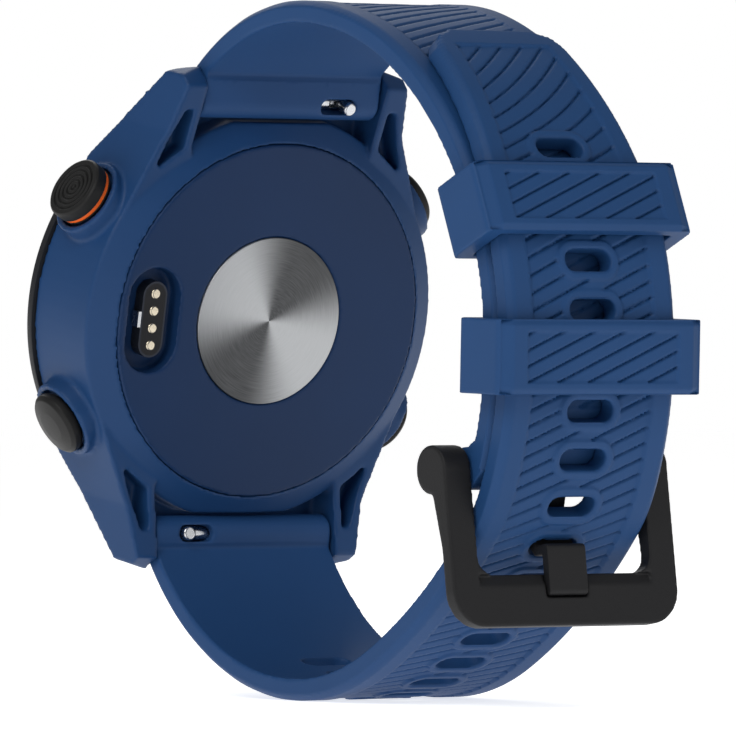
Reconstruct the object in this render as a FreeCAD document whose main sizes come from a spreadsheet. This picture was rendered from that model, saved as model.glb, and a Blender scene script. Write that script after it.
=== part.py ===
# Golf GPS watch, buckled and standing on its strap
# Millimetres, +Z up, origin on the ground under the middle of the object's box.
# The case back faces +Y towards the strap loop, the display faces -Y, three o'clock is +X.

import FreeCAD, Part
import math
import os
import Sketcher
from FreeCAD import Placement, Rotation, Vector

doc = FreeCAD.newDocument("GolfWatch")
sheet = doc.addObject("Spreadsheet::Sheet", "Sizes")

# Driving sizes, by group
driving = {
    # place and lean of the watch head: the middle of its back face
    "head_y": -20.6,
    "head_z": 37.84,
    "head_lean": 11.1,
    # case body
    "case_lip": 0.35,
    "case_radius": "=bezel_radius - case_lip",
    "case_rise": 10.65,
    "foot_draft": 0.5,
    "foot_radius": "=case_radius - foot_draft",
    "foot_rise": 1.8,
    "case_wall": 2.5,
    "cavity_radius": "=case_radius - case_wall",
    "cavity_floor": 2.8,
    "ledge_width": 2.0,
    "ledge_radius": "=cavity_radius - ledge_width",
    "lens_ledge": 0.8,
    "seat_play": 0.05,
    # back cover and plate
    "cover_lap": 1.2,
    "cover_radius": "=ledge_radius + cover_lap",
    "cover_rise": 0.1,
    "cover_thick": 1.35,
    "gasket_thick": 0.2,
    "gasket_width": 0.4,
    "plate_radius": 8.6,
    "plate_thick": 0.42,
    "plate_gap": 0.1,
    "beeper_radius": 4.5,
    "beeper_thick": 0.4,
    # bezel, lens and display
    "bezel_radius": 21.85,
    "bezel_thick": 1.4,
    "bezel_gap": 0.05,
    "spigot_step": 1.5,
    "bezel_spigot": "=bezel_radius - spigot_step",
    "bezel_bevel": 0.6,
    "bezel_rim": 3.45,
    "lens_radius": "=bezel_radius - bezel_rim",
    "lens_thick": 1.3,
    "lens_land": 1.0,
    "lens_land_thick": 0.55,
    "display_margin": 1.9,
    "display_radius": "=lens_radius - display_margin",
    "display_thick": 1.0,
    "backlight_thick": 0.4,
    "frame_play": 0.15,
    "frame_radius": "=cavity_radius - frame_play",
    "frame_thick": 0.8,
    "frame_rim": 0.7,
    "antenna_width": 0.9,
    "antenna_thick": 0.5,
    "antenna_play": 0.2,
    "board_play": 1.8,
    "board_radius": "=cavity_radius - board_play",
    "board_thick": 0.8,
    "battery_radius": 11.5,
    "battery_thick": 4.0,
    "screw_radius": 0.7,
    "screw_head_radius": 1.2,
    "screw_head_thick": 0.5,
    "screw_turn": 60,
    "screw_count": 3,
    "screw_inset": 2.6,
    "screw_circle": "=board_radius - screw_inset",
    # charging port
    "port_inset": 4.1,
    "port_x": "=cover_radius - port_inset",
    "port_width": 6.2,
    "port_height": 10.8,
    "port_depth": 2.1,
    "port_floor": 0.5,
    "port_boss_lap": 0.2,
    "port_wall": 0.4,
    "block_inset": 0.35,
    "block_x": "=port_x - block_inset",
    "block_width": 2.9,
    "block_height": 7.8,
    "block_top": 0.7,
    "block_tail": 0.4,
    "rim_wall": 0.2,
    "contact_radius": 0.54,
    "contact_pitch": 1.77,
    "contact_count": 4,
    "contact_proud": 0.15,
    "detent_size": 0.35,
    "detent_length": 1.6,
    "detent_depth": 1.05,
    # lugs
    "lug_gap": 22.0,
    "lug_tip_run": 3.5,
    "lug_tip": "=bar_reach + lug_tip_run",
    "lug_root": 10.0,
    "lug_tip_width": 2.4,
    "lug_waist": 19.2,
    "lug_waist_width": 3.3,
    "lug_root_width": 7.2,
    "lug_flare": 1.5,
    "lug_heel": 0.9,
    "lug_back": 0.8,
    "lug_pocket_depth": 2.6,
    "lug_pocket_wall": 0.9,
    "lug_root_lap": 1.0,
    "lug_toe_run": 1.7,
    "lug_nose_half": 0.8,
    "lug_nose_slope": 0.5,
    "lug_tip_slant": 0.8,
    "lug_shoulder_run": 0.4,
    "lug_shoulder_share": 0.72,
    "lug_crest_run": 4.0,
    "pocket_foot_play": 0.2,
    "pocket_top_gap": 0.8,
    "pocket_root_width": 3.0,
    "pocket_waist_share": 1.6,
    "cut_run": 1.0,
    "strap_bay_depth": 4.5,
    "bay_wall_stand": 0.5,
    "bay_wall_run": 5.0,
    "bay_inset": 2.2,
    "strap_bay_reach": "=bar_reach - bay_inset",
    # buttons
    "button_angle": 30.5,
    "button_rise": 6.5,
    "boss_radius": 4.1,
    "boss_stand": 1.2,
    "boss_reach": "=case_radius + boss_stand",
    "cap_radius": 3.3,
    "cap_play": 0.12,
    "cap_well": 1.3,
    "cap_travel": 0.6,
    "cap_proud": 1.5,
    "start_cap_proud": 1.9,
    "cap_dome": 0.35,
    "accent_thick": 0.45,
    "accent_inset": 0.1,
    "groove_width": 0.22,
    "groove_pitch": 0.56,
    "groove_count": 5,
    "groove_depth": 0.2,
    "stem_radius": 0.9,
    "stem_play": 0.05,
    "stem_gap": 0.02,
    "seal_radius": 0.3,
    "seal_groove_share": 1.2,
    "seal_inset": 2.4,
    "seal_place": "=boss_reach - seal_inset",
    "clip_radius": 1.6,
    "clip_thick": 0.4,
    "clip_gap": 0.2,
    "clip_slack": 0.1,
    "switch_inset": 0.7,
    "switch_face": "=board_radius - switch_inset",
    "switch_length": 1.8,
    "switch_width": 3.2,
    "switch_thick": 1.5,
    # spring bars
    "bar_stand": 0.9,
    "bar_reach": "=case_radius + bar_stand",
    "bar_rise": 2.0,
    "bar_radius": 0.75,
    "bar_length": 19.0,
    "plunger_radius": 0.45,
    "plunger_seat": 1.0,
    "plunger_play": 0.05,
    "fixed_root_run": 1.5,
    "slot_play": 0.1,
    "strap_slot_play": 0.15,
    "strap_slot_run": 0.4,
    "spring_play": 0.1,
    "knob_place": 7.0,
    "knob_radius": 0.7,
    "knob_neck": 0.3,
    "knob_length": 2.3,
    "knob_stand": 0.15,
    "knob_travel": 1.3,
    "knob_lean": 12.0,
    # straps
    "strap_thick": 2.2,
    "strap_width": 20.0,
    "strap_end_width": 21.6,
    "end_radius": 1.85,
    "end_flush": 1.0,
    "end_overlap": 0.4,
    "top_neck_run": 2.0,
    "bottom_neck_run": 0.25,
    "neck_radius": 1.8,
    "top_bend": 41.9,
    "bottom_bend": 43.4,
    "crown_radius": 26.05,
    "crown_turn": 43.5,
    "shoulder_radius": 34.3,
    "shoulder_turn": 57.4,
    "fall_radius": 31.85,
    "fall_turn": 47.8,
    "strap_gap": 0.2,
    "sole_radius": 29.15,
    "sole_turn": 84.2,
    "heel_radius": 59.7,
    "heel_turn": 21.1,
    "tip_turn": 32.0,
    "tip_width": 15.2,
    "tip_taper": 26.0,
    "tip_round": 2.5,
    "end_taper": 30.0,
    "trim_margin": 5.0,
    "trim_run": 200.0,
    "collar_out_share": 0.8,
    "collar_drop_share": 0.6,
    "collar_up_share": 1.2,
    "tip_overrun": 2.0,
    "tip_round_start": 0.1,
    "tip_round_middle": 0.3,
    "tip_round_fall": 0.35,
    "hole_width": 5.5,
    "hole_length": 2.2,
    "tip_hole": 16.4,
    "first_hole": 23.3,
    "hole_pitch": 4.77,
    "hole_count": 17,
    "tongue_hole": 7,
    # keepers
    "keeper_length": 7.3,
    "keeper_wall": 1.15,
    "keeper_side": 2.0,
    "keeper_play": 0.2,
    "keeper_round": 1.0,
    "upper_keeper_turn": 2.9,
    "lower_keeper_turn": 28.0,
    # buckle
    "pin_inset": 1.75,
    "pin_drop": 0.9,
    "pin_radius": 0.75,
    "pin_play": 0.05,
    "pin_tube": 2.1,
    "arm_gap": 0.35,
    "arm_width": 3.1,
    "arm_thick": 1.6,
    "arm_lean": 8.3,
    "arm_offset": 0.7,
    "knuckle_radius": 2.4,
    "buckle_drop": 15.6,
    "buckle_corner": 3.5,
    "knuckle_inset": 0.85,
    "arm_shoulder": 2.6,
    "arm_swell": 0.8,
    "front_bar_height": 5.1,
    "front_bar_bevel": 1.2,
    "tongue_width": 4.6,
    "tongue_thick": 1.0,
    "tongue_barrel": 1.35,
    "tongue_seat": 0.7,
    "seat_share": 0.45,
    "tongue_inner_share": 0.8,
    "tongue_outer_share": 0.4,
    "tongue_rise": 0.1,
    "tongue_play": 0.15,
    "tongue_hump": 2.4,
}

# every name is set before any value, because some values are formulas in other names
for row, alias in enumerate(driving, 1):
    sheet.set("A%d" % row, alias)
    sheet.setAlias("B%d" % row, alias)
for row, number in enumerate(driving.values(), 1):
    sheet.set("B%d" % row, str(number))
doc.recompute()


def size(alias):
    return float(sheet.get(alias))


# Shared places, in the frame of the watch head:
# X to three o'clock, Y to twelve o'clock, Z from the back face to the display
head = Placement(Vector(0, size("head_y"), size("head_z")), Rotation(Vector(1, 0, 0), 90 - size("head_lean")))
across = Vector(1, 0, 0)
tiny = 1e-6
nearly_one = 0.9

work = doc.addObject("Spreadsheet::Sheet", "Outlines")
work_rows = [0]


def number_of(formula):
    # one working cell per coordinate keeps every outline tied to the driving sizes
    work_rows[0] += 1
    cell = "A%d" % work_rows[0]
    work.set(cell, "=" + formula)
    work.recompute()
    return float(work.get(cell))


def tied(formula):
    # a formula in plain size names, made to read the driving sheet
    words = formula.split(" ")
    return " ".join("Sizes." + word if word in driving else word for word in words)


def origin_plane(body, role):
    return [item for item in body.Origin.OriginFeatures if item.Role == role][0]


def new_body(label, placement):
    body = doc.addObject("PartDesign::Body", label)
    body.Label = label
    body.Placement = placement
    return body


def outline(body, name, role, corners):
    # a closed polygon whose corners are held by formulas in the driving sizes
    sketch = body.newObject("Sketcher::SketchObject", name)
    sketch.AttachmentSupport = [(origin_plane(body, role), "")]
    sketch.MapMode = "FlatFace"
    rules = [(tied(a), tied(b)) for a, b in corners]
    places = [Vector(number_of(a), number_of(b), 0) for a, b in rules]
    count = len(places)
    for i in range(count):
        sketch.addGeometry(Part.LineSegment(places[i], places[(i + 1) % count]), False)
    for i in range(count):
        sketch.addConstraint(Sketcher.Constraint("Coincident", i, 2, (i + 1) % count, 1))
    for i in range(count):
        for kind, value, rule in (("DistanceX", places[i].x, rules[i][0]), ("DistanceY", places[i].y, rules[i][1])):
            held = sketch.addConstraint(Sketcher.Constraint(kind, -1, 1, i, 1, value))
            sketch.setExpression("Constraints[%d]" % held, rule)
    return sketch


def turned(label, corners, placement=head):
    # a piece turned about its own Z axis from an outline of radius and rise
    body = new_body(label, placement)
    sketch = outline(body, label + "_outline", "XZ_Plane", corners)
    turn = body.newObject("PartDesign::Revolution", label + "_turn")
    turn.Profile = sketch
    turn.ReferenceAxis = (sketch, ["V_Axis"])
    turn.Angle = 360
    doc.recompute()
    return body


def cylinder(label, radius, height, placement):
    piece = doc.addObject("Part::Cylinder", label)
    piece.Label = label
    piece.setExpression("Radius", tied(radius))
    piece.setExpression("Height", tied(height))
    piece.Placement = placement
    doc.recompute()
    return piece


def built(label, shape, placement=None):
    piece = doc.addObject("Part::Feature", label)
    piece.Label = label
    piece.Shape = shape.removeSplitter()
    if placement is not None:
        piece.Placement = placement
    return piece


def post(radius, base, axis, height):
    return Part.makeCylinder(radius, height, base, axis)


def prism(corners, direction):
    return Part.Face(Part.makePolygon(corners + corners[:1])).extrude(direction)


def stadium(middle_x, width, height, low, thick):
    # an upright slot shape about the X place, from the rise called low
    half = width / 2
    run = height / 2 - half
    box = Part.makeBox(width, 2 * run, thick, Vector(middle_x - half, -run, low))
    upper = post(half, Vector(middle_x, run, low), Vector(0, 0, 1), thick)
    lower = post(half, Vector(middle_x, -run, low), Vector(0, 0, 1), thick)
    return box.fuse([upper, lower]).removeSplitter()


# Rises of the stacked pieces inside the head
cover_inner = size("cover_rise") + size("cover_thick")
ledge_rise = cover_inner + size("gasket_thick")
bezel_seat = size("case_rise") - size("lens_ledge")
lens_rise = bezel_seat + size("bezel_gap") + size("lens_land_thick")
frame_rise = lens_rise - size("display_thick") - size("backlight_thick") - size("frame_thick")
board_rise = frame_rise - size("board_thick")
battery_rise = board_rise - size("battery_thick")


# Case body: a round shell with four lugs and four button bosses
seat_radius = size("cover_radius") + size("seat_play")
spigot_seat = size("bezel_spigot") + size("seat_play")
bay_half = size("lug_gap") / 2
upright = Vector(0, 0, 1)


def turned_shape(corners):
    loop = [Vector(r, 0, z) for r, z in corners]
    return Part.Face(Part.makePolygon(loop + loop[:1])).revolve(Vector(), upright, 360)


def lug_outline(flare, rise):
    # the lug seen from the back: its root on the case, its waist and its tip
    return [
        Vector(bay_half, size("lug_root"), rise),
        Vector(bay_half + size("lug_root_width") + flare / 2, size("lug_root"), rise),
        Vector(bay_half + size("lug_waist_width") + flare, size("lug_waist"), rise),
        Vector(bay_half + size("lug_tip_width") + flare, size("lug_tip") - size("lug_tip_slant"), rise),
        Vector(bay_half, size("lug_tip"), rise),
    ]


def outer_edge(reach):
    # how far out the back edge of the lug stands between its waist and its root
    share = (reach - size("lug_waist")) / (size("lug_root") - size("lug_waist"))
    return bay_half + size("lug_waist_width") + share * (size("lug_root_width") - size("lug_waist_width"))


def make_lug():
    low = -size("lug_back")
    high = size("case_rise")
    loops = [Part.makePolygon(loop + loop[:1]) for loop in (lug_outline(0, low), lug_outline(size("lug_flare"), high))]
    body = Part.makeLoft(loops, True, True)
    tip = size("lug_tip")
    bar_level = size("bar_rise")
    side = [
        (size("lug_root") - size("lug_root_lap"), high),
        (size("lug_root") - size("lug_root_lap"), size("foot_rise")),
        (size("lug_waist") - size("lug_root_lap"), size("lug_heel")),
        (tip - size("lug_toe_run"), low),
        (tip, bar_level - size("lug_nose_half")),
        (tip - size("lug_nose_slope"), bar_level + size("lug_nose_half")),
        (size("lug_waist") + size("lug_shoulder_run"), size("lug_shoulder_share") * high),
        (size("lug_waist") - size("lug_crest_run"), high),
    ]
    profile = prism([Vector(bay_half, up, rise) for up, rise in side], Vector(bay_half, 0, 0))
    return body.common(profile)


def make_lug_pocket():
    wall = size("lug_pocket_wall")
    near = bay_half + wall
    foot = size("foot_radius") + size("pocket_foot_play")
    top = size("bar_reach") - size("pocket_top_gap")
    root = math.sqrt(foot ** 2 - (near + size("pocket_root_width")) ** 2)
    low = -size("lug_back") - size("cut_run")
    corners = [
        Vector(near, top, low),
        Vector(bay_half + size("lug_waist_width") - size("pocket_waist_share") * wall, top, low),
        Vector(outer_edge(root) - wall, root, low),
        Vector(near, math.sqrt(foot ** 2 - near ** 2), low),
    ]
    return prism(corners, Vector(0, 0, size("lug_heel") + size("lug_pocket_depth") - low))


def four_ways(shape):
    pair = [shape, shape.mirror(Vector(), Vector(1, 0, 0))]
    return pair + [item.mirror(Vector(), Vector(0, 1, 0)) for item in pair]


button_turns = {
    "start": size("button_angle"),
    "back": -size("button_angle"),
    "light": 180 - size("button_angle"),
    "page": 180 + size("button_angle"),
}


def button_place(turn):
    # local Z runs out along the button's axis
    lift = Placement(Vector(0, 0, size("button_rise")), Rotation())
    spin = Placement(Vector(), Rotation(upright, turn))
    tip_over = Placement(Vector(), Rotation(Vector(0, 1, 0), 90))
    return lift.multiply(spin).multiply(tip_over)


def placed(shape, placement):
    copy = shape.copy()
    copy.Placement = placement.multiply(copy.Placement)
    return copy


shell = turned_shape([
    (0, size("cover_rise") + size("seat_play")),
    (seat_radius, size("cover_rise") + size("seat_play")),
    (size("foot_radius"), size("foot_rise")),
    (size("case_radius"), size("case_rise")),
    (0, size("case_rise")),
])
hollow = turned_shape([
    (0, -size("cavity_floor")),
    (seat_radius, -size("cavity_floor")),
    (seat_radius, ledge_rise),
    (size("ledge_radius"), ledge_rise),
    (size("ledge_radius"), size("cavity_floor")),
    (size("cavity_radius"), size("cavity_floor")),
    (size("cavity_radius"), bezel_seat),
    (spigot_seat, bezel_seat),
    (spigot_seat, size("case_rise") + size("cut_run")),
    (0, size("case_rise") + size("cut_run")),
])
boss = post(size("boss_radius"), Vector(0, 0, size("ledge_radius")), upright, size("boss_reach") - size("ledge_radius"))
well_floor = size("boss_reach") - size("cap_well")
well = post(size("cap_radius") + size("cap_play"), Vector(0, 0, well_floor), upright, size("boss_reach"))
stem_bore_radius = size("stem_radius") + size("stem_play")
stem_bore = post(stem_bore_radius, Vector(0, 0, size("ledge_radius")), upright, size("boss_reach") - size("ledge_radius"))
groove_radius = stem_bore_radius + 2 * size("seal_radius")
groove_half = size("seal_groove_share") * size("seal_radius")
groove = post(groove_radius, Vector(0, 0, size("seal_place") - groove_half), upright, 2 * groove_half)
places = [button_place(turn) for turn in button_turns.values()]
bay = Part.makeBox(2 * bay_half, 2 * size("lug_tip"), size("strap_bay_depth") + size("cavity_floor"),
                   Vector(-bay_half, size("strap_bay_reach"), -size("cavity_floor")))
bar_hole = post(size("plunger_radius") + size("plunger_play"), Vector(bay_half, size("bar_reach"), size("bar_rise")),
                across, size("plunger_seat") + size("plunger_play"))
notch = stadium(size("port_x"), size("port_width") + 2 * size("port_wall") + 2 * size("seat_play"),
                size("port_height") + 2 * size("port_wall") + 2 * size("seat_play"), cover_inner, size("cavity_floor"))
bay_wall = Part.makeBox(2 * bay_half, size("bay_wall_run"), size("case_rise") - size("strap_bay_depth"), Vector(
    -bay_half, size("bar_reach") - size("bay_wall_stand") - size("bay_wall_run"), size("strap_bay_depth")))
bay_walls = [bay_wall, bay_wall.mirror(Vector(), Vector(0, 1, 0))]
case = shell.fuse(four_ways(make_lug()) + bay_walls + [placed(boss, place) for place in places])
cutters = [hollow, bay, bay.mirror(Vector(), Vector(0, 1, 0)), notch]
cutters += four_ways(make_lug_pocket()) + four_ways(bar_hole)
for place in places:
    cutters += [placed(item, place) for item in (well, stem_bore, groove)]
built("case_body", case.cut(cutters), head)

# Back cover with its plate recess and charging port recess
cover = post(size("cover_radius"), Vector(0, 0, size("cover_rise")), upright, size("cover_thick"))
port_boss = stadium(size("port_x"), size("port_width") + 2 * size("port_wall"),
                    size("port_height") + 2 * size("port_wall"), cover_inner - size("port_boss_lap"),
                    size("port_depth") + size("port_floor") - cover_inner + size("port_boss_lap"))
plate_recess = post(size("plate_radius") + size("plate_gap"), Vector(), upright, size("plate_thick") + size("seat_play"))
port_recess = stadium(size("port_x"), size("port_width"), size("port_height"), 0, size("port_depth"))
block_seat = stadium(size("block_x"), size("block_width") - 2 * size("rim_wall"),
                     size("block_height") - 2 * size("rim_wall"), 0, size("cavity_floor") + size("cut_run"))
built("back_cover", cover.fuse(port_boss).cut([plate_recess, port_recess, block_seat]), head)

turned("back_plate", [
    ("0", "seat_play"),
    ("plate_radius - seat_play", "seat_play"),
    ("plate_radius", "seat_play * 2"),
    ("plate_radius", "plate_thick + seat_play"),
    ("0", "plate_thick + seat_play"),
])
gasket_base = "cover_rise + cover_thick"
turned("back_gasket", [
    ("cover_radius", gasket_base),
    ("cover_radius", gasket_base + " + gasket_thick"),
    ("cover_radius - gasket_width", gasket_base + " + gasket_thick"),
    ("cover_radius - gasket_width", gasket_base),
])

# Charging port: block, rim, contacts, detent and flexible lead
block_height = size("block_height")
core_width = size("block_width") - 2 * size("rim_wall")
core_height = block_height - 2 * size("rim_wall")
block_end = size("port_depth") + size("port_floor") + size("block_tail")
block = stadium(size("block_x"), core_width, core_height, size("block_top"), block_end - size("block_top"))
contact_count = int(size("contact_count"))
contact_rows = [Vector(size("block_x"), size("contact_pitch") * (i - (contact_count - 1) / 2), 0)
                for i in range(contact_count)]
contact_top = size("block_top") - size("contact_proud")
contact_length = block_end - contact_top
pins = []
for spot in contact_rows:
    pin = post(size("contact_radius"), spot + Vector(0, 0, contact_top), upright, contact_length)
    rim_edge = pin.Edges[[edge.BoundBox.ZMax < contact_top + tiny for edge in pin.Edges].index(True)]
    pins.append(pin.makeFillet(size("contact_radius") / 3, [rim_edge]))
built("port_block", block.cut(pins), head)
built("port_contacts", Part.makeCompound(pins), head)
rim = stadium(size("block_x"), size("block_width"), block_height, size("block_top"),
              size("port_depth") - size("block_top"))
built("port_rim", rim.cut(block), head)
built("port_detent", Part.makeBox(size("detent_size"), size("detent_length"), size("detent_depth"), Vector(
    size("block_x") + size("block_width") / 2, -size("detent_length") / 2, size("block_top"))), head)
built("port_lead", Part.makeBox(size("rim_wall"), core_height, board_rise - block_end, Vector(
    size("block_x"), -core_height / 2, block_end)), head)

# Bezel, lens and display
bezel_base = "case_rise + bezel_gap"
bezel_foot = "case_rise - lens_ledge + bezel_gap"
land = bezel_foot + " + lens_land_thick"
bezel_top = bezel_base + " + bezel_thick"
turned("bezel_ring", [
    ("lens_radius + seat_play", land),
    ("lens_radius - lens_land", land),
    ("lens_radius - lens_land", bezel_foot),
    ("bezel_spigot", bezel_foot),
    ("bezel_spigot", bezel_base),
    ("bezel_radius", bezel_base),
    ("bezel_radius", bezel_top + " - bezel_bevel"),
    ("bezel_radius - bezel_bevel", bezel_top),
    ("lens_radius + bezel_bevel", bezel_top),
    ("lens_radius + seat_play", bezel_top + " - bezel_bevel"),
])
turned("lens", [
    ("0", land),
    ("lens_radius", land),
    ("lens_radius", land + " + lens_thick - bezel_bevel / 2"),
    ("lens_radius - bezel_bevel", land + " + lens_thick"),
    ("0", land + " + lens_thick"),
])


def stacked(rise):
    return head.multiply(Placement(Vector(0, 0, rise), Rotation()))


cylinder("display_panel", "display_radius", "display_thick", stacked(lens_rise - size("display_thick")))
cylinder("backlight_sheet", "display_radius", "backlight_thick", stacked(frame_rise + size("frame_thick")))
screw_count = int(size("screw_count"))
screw_spots = [Rotation(upright, size("screw_turn") + 360 * i / screw_count).multVec(Vector(size("screw_circle"), 0, 0))
               for i in range(screw_count)]
screw_holes = [post(size("screw_radius") + size("seat_play"), spot, upright, lens_rise) for spot in screw_spots]
rim_inner = size("display_radius") + size("antenna_width") + 2 * size("antenna_play")
rim_top = frame_rise + size("frame_thick") + size("frame_rim")
frame_shape = turned_shape([
    (0, frame_rise),
    (size("frame_radius"), frame_rise),
    (size("frame_radius"), rim_top),
    (rim_inner, rim_top),
    (rim_inner, frame_rise + size("frame_thick")),
    (0, frame_rise + size("frame_thick")),
])
built("inner_frame", frame_shape.cut(screw_holes), head)
antenna_base = frame_rise + size("frame_thick")
antenna_inner = size("display_radius") + size("antenna_play")
antenna_loop = turned_shape([
    (antenna_inner, antenna_base),
    (antenna_inner + size("antenna_width"), antenna_base),
    (antenna_inner + size("antenna_width"), antenna_base + size("antenna_thick")),
    (antenna_inner, antenna_base + size("antenna_thick")),
])
feed_gap = Part.makeBox(size("display_radius"), 4 * size("antenna_width"), size("case_rise"),
                        Vector(-antenna_inner - size("display_radius") / 2, -2 * size("antenna_width"), 0))
built("antenna", antenna_loop.cut(feed_gap), head)
board = post(size("board_radius"), Vector(0, 0, board_rise), upright, size("board_thick"))
built("main_board", board.cut(screw_holes), head)
screws = []
for spot in screw_spots:
    shank = post(size("screw_radius"), spot + Vector(0, 0, board_rise), upright,
                 size("board_thick") + size("frame_thick"))
    cap = post(size("screw_head_radius"), spot + Vector(0, 0, board_rise - size("screw_head_thick")), upright,
               size("screw_head_thick"))
    screws.append(shank.fuse(cap).removeSplitter())
built("board_screws", Part.makeCompound(screws), head)
cylinder("battery", "battery_radius", "battery_thick", stacked(battery_rise))
cylinder("beeper_disc", "beeper_radius", "beeper_thick",
         head.multiply(Placement(Vector(-size("battery_radius"), 0, cover_inner), Rotation())))


# Buttons: cap, stem and clip ride together, the switch and seal stay in the case
under = "boss_reach - cap_well + cap_travel + seat_play"
switches = []
seals = []
for name, turn in button_turns.items():
    place = head.multiply(button_place(turn))
    if name == "start":
        crown = "boss_reach + start_cap_proud"
        ring_low = "boss_reach + seat_play * 2"
        ring_high = ring_low + " + accent_thick"
        corners = [
            ("0", under),
            ("cap_radius", under),
            ("cap_radius", ring_low),
            ("cap_radius - accent_thick", ring_low),
            ("cap_radius - accent_thick", ring_high),
            ("cap_radius", ring_high),
            ("cap_radius", crown + " - groove_depth"),
            ("cap_radius - groove_depth", crown),
        ]
        for i in range(int(size("groove_count")), 0, -1):
            middle = "groove_pitch * %g" % (i - 0.5)
            wide = middle + " + groove_width / 2"
            narrow = middle + " - groove_width / 2"
            corners += [
                (wide, crown),
                (wide, crown + " - groove_depth"),
                (narrow, crown + " - groove_depth"),
                (narrow, crown),
            ]
        corners.append(("0", crown))
        turned("accent_ring", [
            ("cap_radius - accent_thick", ring_low),
            ("cap_radius - accent_inset", ring_low),
            ("cap_radius - accent_inset", ring_high),
            ("cap_radius - accent_thick", ring_high),
        ], place)
    else:
        crown = "boss_reach + cap_proud"
        corners = [
            ("0", under),
            ("cap_radius", under),
            ("cap_radius", crown + " - cap_dome * 2"),
            ("cap_radius - cap_dome", crown + " - cap_dome"),
            ("cap_radius / 2", crown + " - cap_dome / 4"),
            ("0", crown),
        ]
    turned(name + "_button_cap", corners, place)
    stem_tip = size("switch_face") + size("cap_travel") + size("stem_gap")
    stem_length = "boss_reach - cap_well + seat_play - switch_face - stem_gap"
    cylinder(name + "_button_stem", "stem_radius", stem_length,
             place.multiply(Placement(Vector(0, 0, stem_tip), Rotation())))
    clip_low = size("cavity_radius") - size("clip_gap") - size("clip_thick") - size("clip_slack")
    clip = post(size("clip_radius"), Vector(0, 0, clip_low), upright, size("clip_thick"))
    built(name + "_button_clip", clip.cut(post(size("stem_radius"), Vector(), upright, size("boss_reach"))), place)
    switch = Part.makeBox(size("switch_length"), size("switch_width"), size("switch_thick"), Vector(
        size("switch_face") - size("switch_length"), -size("switch_width") / 2, board_rise - size("switch_thick")))
    switches.append(placed(switch, Placement(Vector(), Rotation(upright, turn))))
    seal = Part.makeTorus(stem_bore_radius + size("seal_radius"), size("seal_radius"),
                          Vector(0, 0, size("seal_place")), upright)
    seals.append(placed(seal, button_place(turn)))
built("button_switches", Part.makeCompound(switches), head)
built("button_seals", Part.makeCompound(seals), head)

# Spring bars: the knob side faces the wearer's left at the top and right at the bottom
bar_half = size("bar_length") / 2
rod_end = bay_half + size("plunger_seat")
rod_root = size("knob_place") - 3 * size("plunger_radius")


def bar_place(end):
    # the bar's own X axis runs to its knob, its own -Z to the wrist
    turn = Rotation(upright, 180 if end > 0 else 0)
    tilt = Rotation(across, size("knob_lean"))
    return head.multiply(Placement(Vector(0, end * size("bar_reach"), size("bar_rise")), turn.multiply(tilt)))


bar_core = size("plunger_radius") + size("plunger_play")
slot_run = size("knob_travel") + 2 * size("knob_neck") + 2 * size("slot_play")
slot_wide = 2 * size("knob_neck") + size("slot_play")
slot_near = size("knob_place") - size("knob_travel") - size("knob_neck") - size("slot_play")
knob_slot = Part.makeBox(slot_run, slot_wide, size("knob_length"),
                         Vector(slot_near, -slot_wide / 2, -size("knob_length")))
slot_half = size("knob_radius") + size("strap_slot_play")
slot_far = size("knob_place") - size("knob_travel") - size("knob_radius") - size("strap_slot_run")
strap_slot = Part.makeBox(size("knob_place") - slot_far, 2 * slot_half, 2 * size("knob_length"),
                          Vector(slot_far, -slot_half, -2 * size("knob_length")))
strap_slot = strap_slot.fuse([
    post(slot_half, Vector(x, 0, -2 * size("knob_length")), upright, 2 * size("knob_length"))
    for x in (slot_far, size("knob_place"))
])
bar_bore = post(size("bar_radius") + size("plunger_play"), Vector(-bay_half, 0, 0), across, 2 * bay_half)
for name, end in (("top", 1), ("bottom", -1)):
    place = bar_place(end)
    tube = post(size("bar_radius"), Vector(-bar_half, 0, 0), across, 2 * bar_half)
    built(name + "_bar_tube", tube.cut([post(bar_core, Vector(-bar_half, 0, 0), across, 2 * bar_half), knob_slot]), place)
    fixed_root = bar_half - size("fixed_root_run")
    built(name + "_bar_fixed_plunger", post(size("plunger_radius"), Vector(-rod_end, 0, 0), across,
                                           rod_end - fixed_root), place)
    rod = post(size("plunger_radius"), Vector(rod_root, 0, 0), across, rod_end - rod_root)
    neck = post(size("knob_neck"), Vector(size("knob_place"), 0, -size("knob_length")), upright, size("knob_length"))
    knob = post(size("knob_radius"), Vector(size("knob_place"), 0, -size("knob_length")), upright,
                size("knob_length") - size("bar_radius") - size("knob_stand"))
    knob_rim = knob.Edges[[edge.BoundBox.ZMax < tiny - size("knob_length") for edge in knob.Edges].index(True)]
    knob = knob.makeFillet(size("knob_radius") / 3, [knob_rim])
    built(name + "_bar_knob", rod.fuse([neck, knob]), place)
    spring_end = rod_root - size("knob_travel") - size("spring_play")
    spring_start = size("spring_play") - fixed_root
    spring = post(size("plunger_radius"), Vector(spring_start, 0, 0), across, spring_end - spring_start)
    core = post(size("plunger_radius") / 2, Vector(-bay_half, 0, 0), across, 2 * bay_half)
    built(name + "_bar_spring", spring.cut(core), place)

# Strap paths: tangent arcs in the upright plane, each a centre, a radius and two polar angles


def head_spot(reach, rise):
    spot = head.multVec(Vector(0, reach, rise))
    return Vector(0, spot.y, spot.z)


def polar(angle):
    return Vector(0, math.cos(math.radians(angle)), math.sin(math.radians(angle)))


def follow(spot, heading, turns):
    # turns holds a radius and a signed angle for each arc, left turns positive
    arcs = []
    for radius, turn in turns:
        side = 1 if turn > 0 else -1
        centre = spot + polar(heading + 90 * side) * radius
        start = heading - 90 * side
        arcs.append((centre, radius, start, start + turn))
        spot = centre + polar(start + turn) * radius
        heading += turn
    return arcs, spot, heading


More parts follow.
